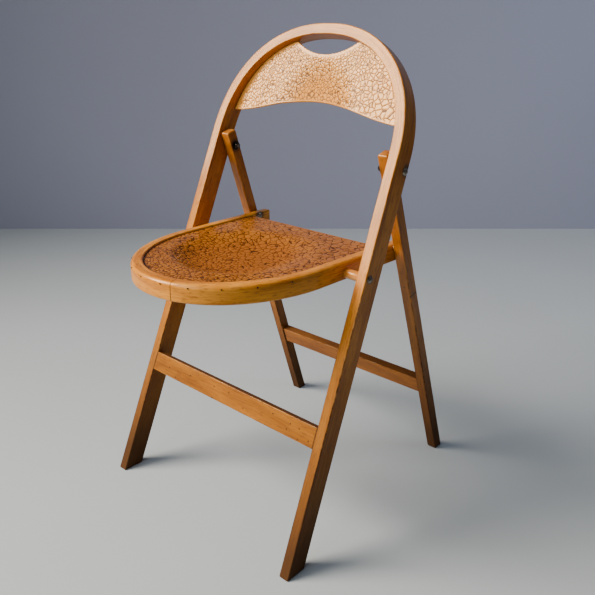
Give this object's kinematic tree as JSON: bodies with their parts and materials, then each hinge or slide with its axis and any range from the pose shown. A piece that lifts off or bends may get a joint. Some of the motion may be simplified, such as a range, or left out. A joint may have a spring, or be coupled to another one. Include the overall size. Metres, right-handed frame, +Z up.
{
  "type": "wooden folding chair",
  "caption": "Folding chair of bent wood: a hoop frame with a pressed back panel, straight rear legs and a U-shaped seat ring with a pressed plywood seat.",
  "frame": {"origin": "on the floor, in the middle of the chair's outline seen from above", "axes": "+Z up; the sitter faces -Y; +X is the chair's right side as its front is looked at"},
  "size_m": [0.4464, 0.5404, 0.8034],
  "materials": {
    "beech": "glossy amber lacquer",
    "plywood": "glossy amber lacquer, embossed",
    "steel": "dull, darkened"
  },
  "bodies": {
    "hoop_frame": {"front_hoop": "beech", "back_panel": "plywood", "front_stretcher": "beech", "seat_spacer_left": "beech", "seat_spacer_right": "beech", "seat_bolt_left": "steel", "seat_bolt_right": "steel", "seat_nut_left": "steel", "seat_nut_right": "steel", "seat_washer_left": "steel", "seat_washer_right": "steel", "leg_bolt_left": "steel", "leg_bolt_right": "steel", "leg_nut_left": "steel", "leg_nut_right": "steel", "leg_washer_left": "steel", "leg_washer_right": "steel", "nut_washer_left": "steel", "nut_washer_right": "steel"},
    "rear_frame": {"rear_leg_left": "beech", "rear_leg_right": "beech", "rear_stretcher": "beech"},
    "seat": {"seat_ring": "beech", "seat_panel": "plywood", "seat_nails": "steel", "guide_pin_left": "steel", "guide_pin_right": "steel"}
  },
  "joints": [
    {"name": "seat_fold", "type": "hinge", "parent": "hoop_frame", "child": "seat", "pos_m": [0, -0.02214, 0.44013], "axis": [-1, 0, 0], "range_deg": [0, 113]},
    {"name": "rear_legs_fold", "type": "hinge", "parent": "hoop_frame", "child": "rear_frame", "pos_m": [0, 0.06226, 0.59137], "axis": [-1, 0, 0], "range_deg": [0, 41.44]}
  ],
  "couplings": [
    {"joint": "rear_legs_fold", "follows": "seat_fold", "ratio": 0.36673}
  ]
}
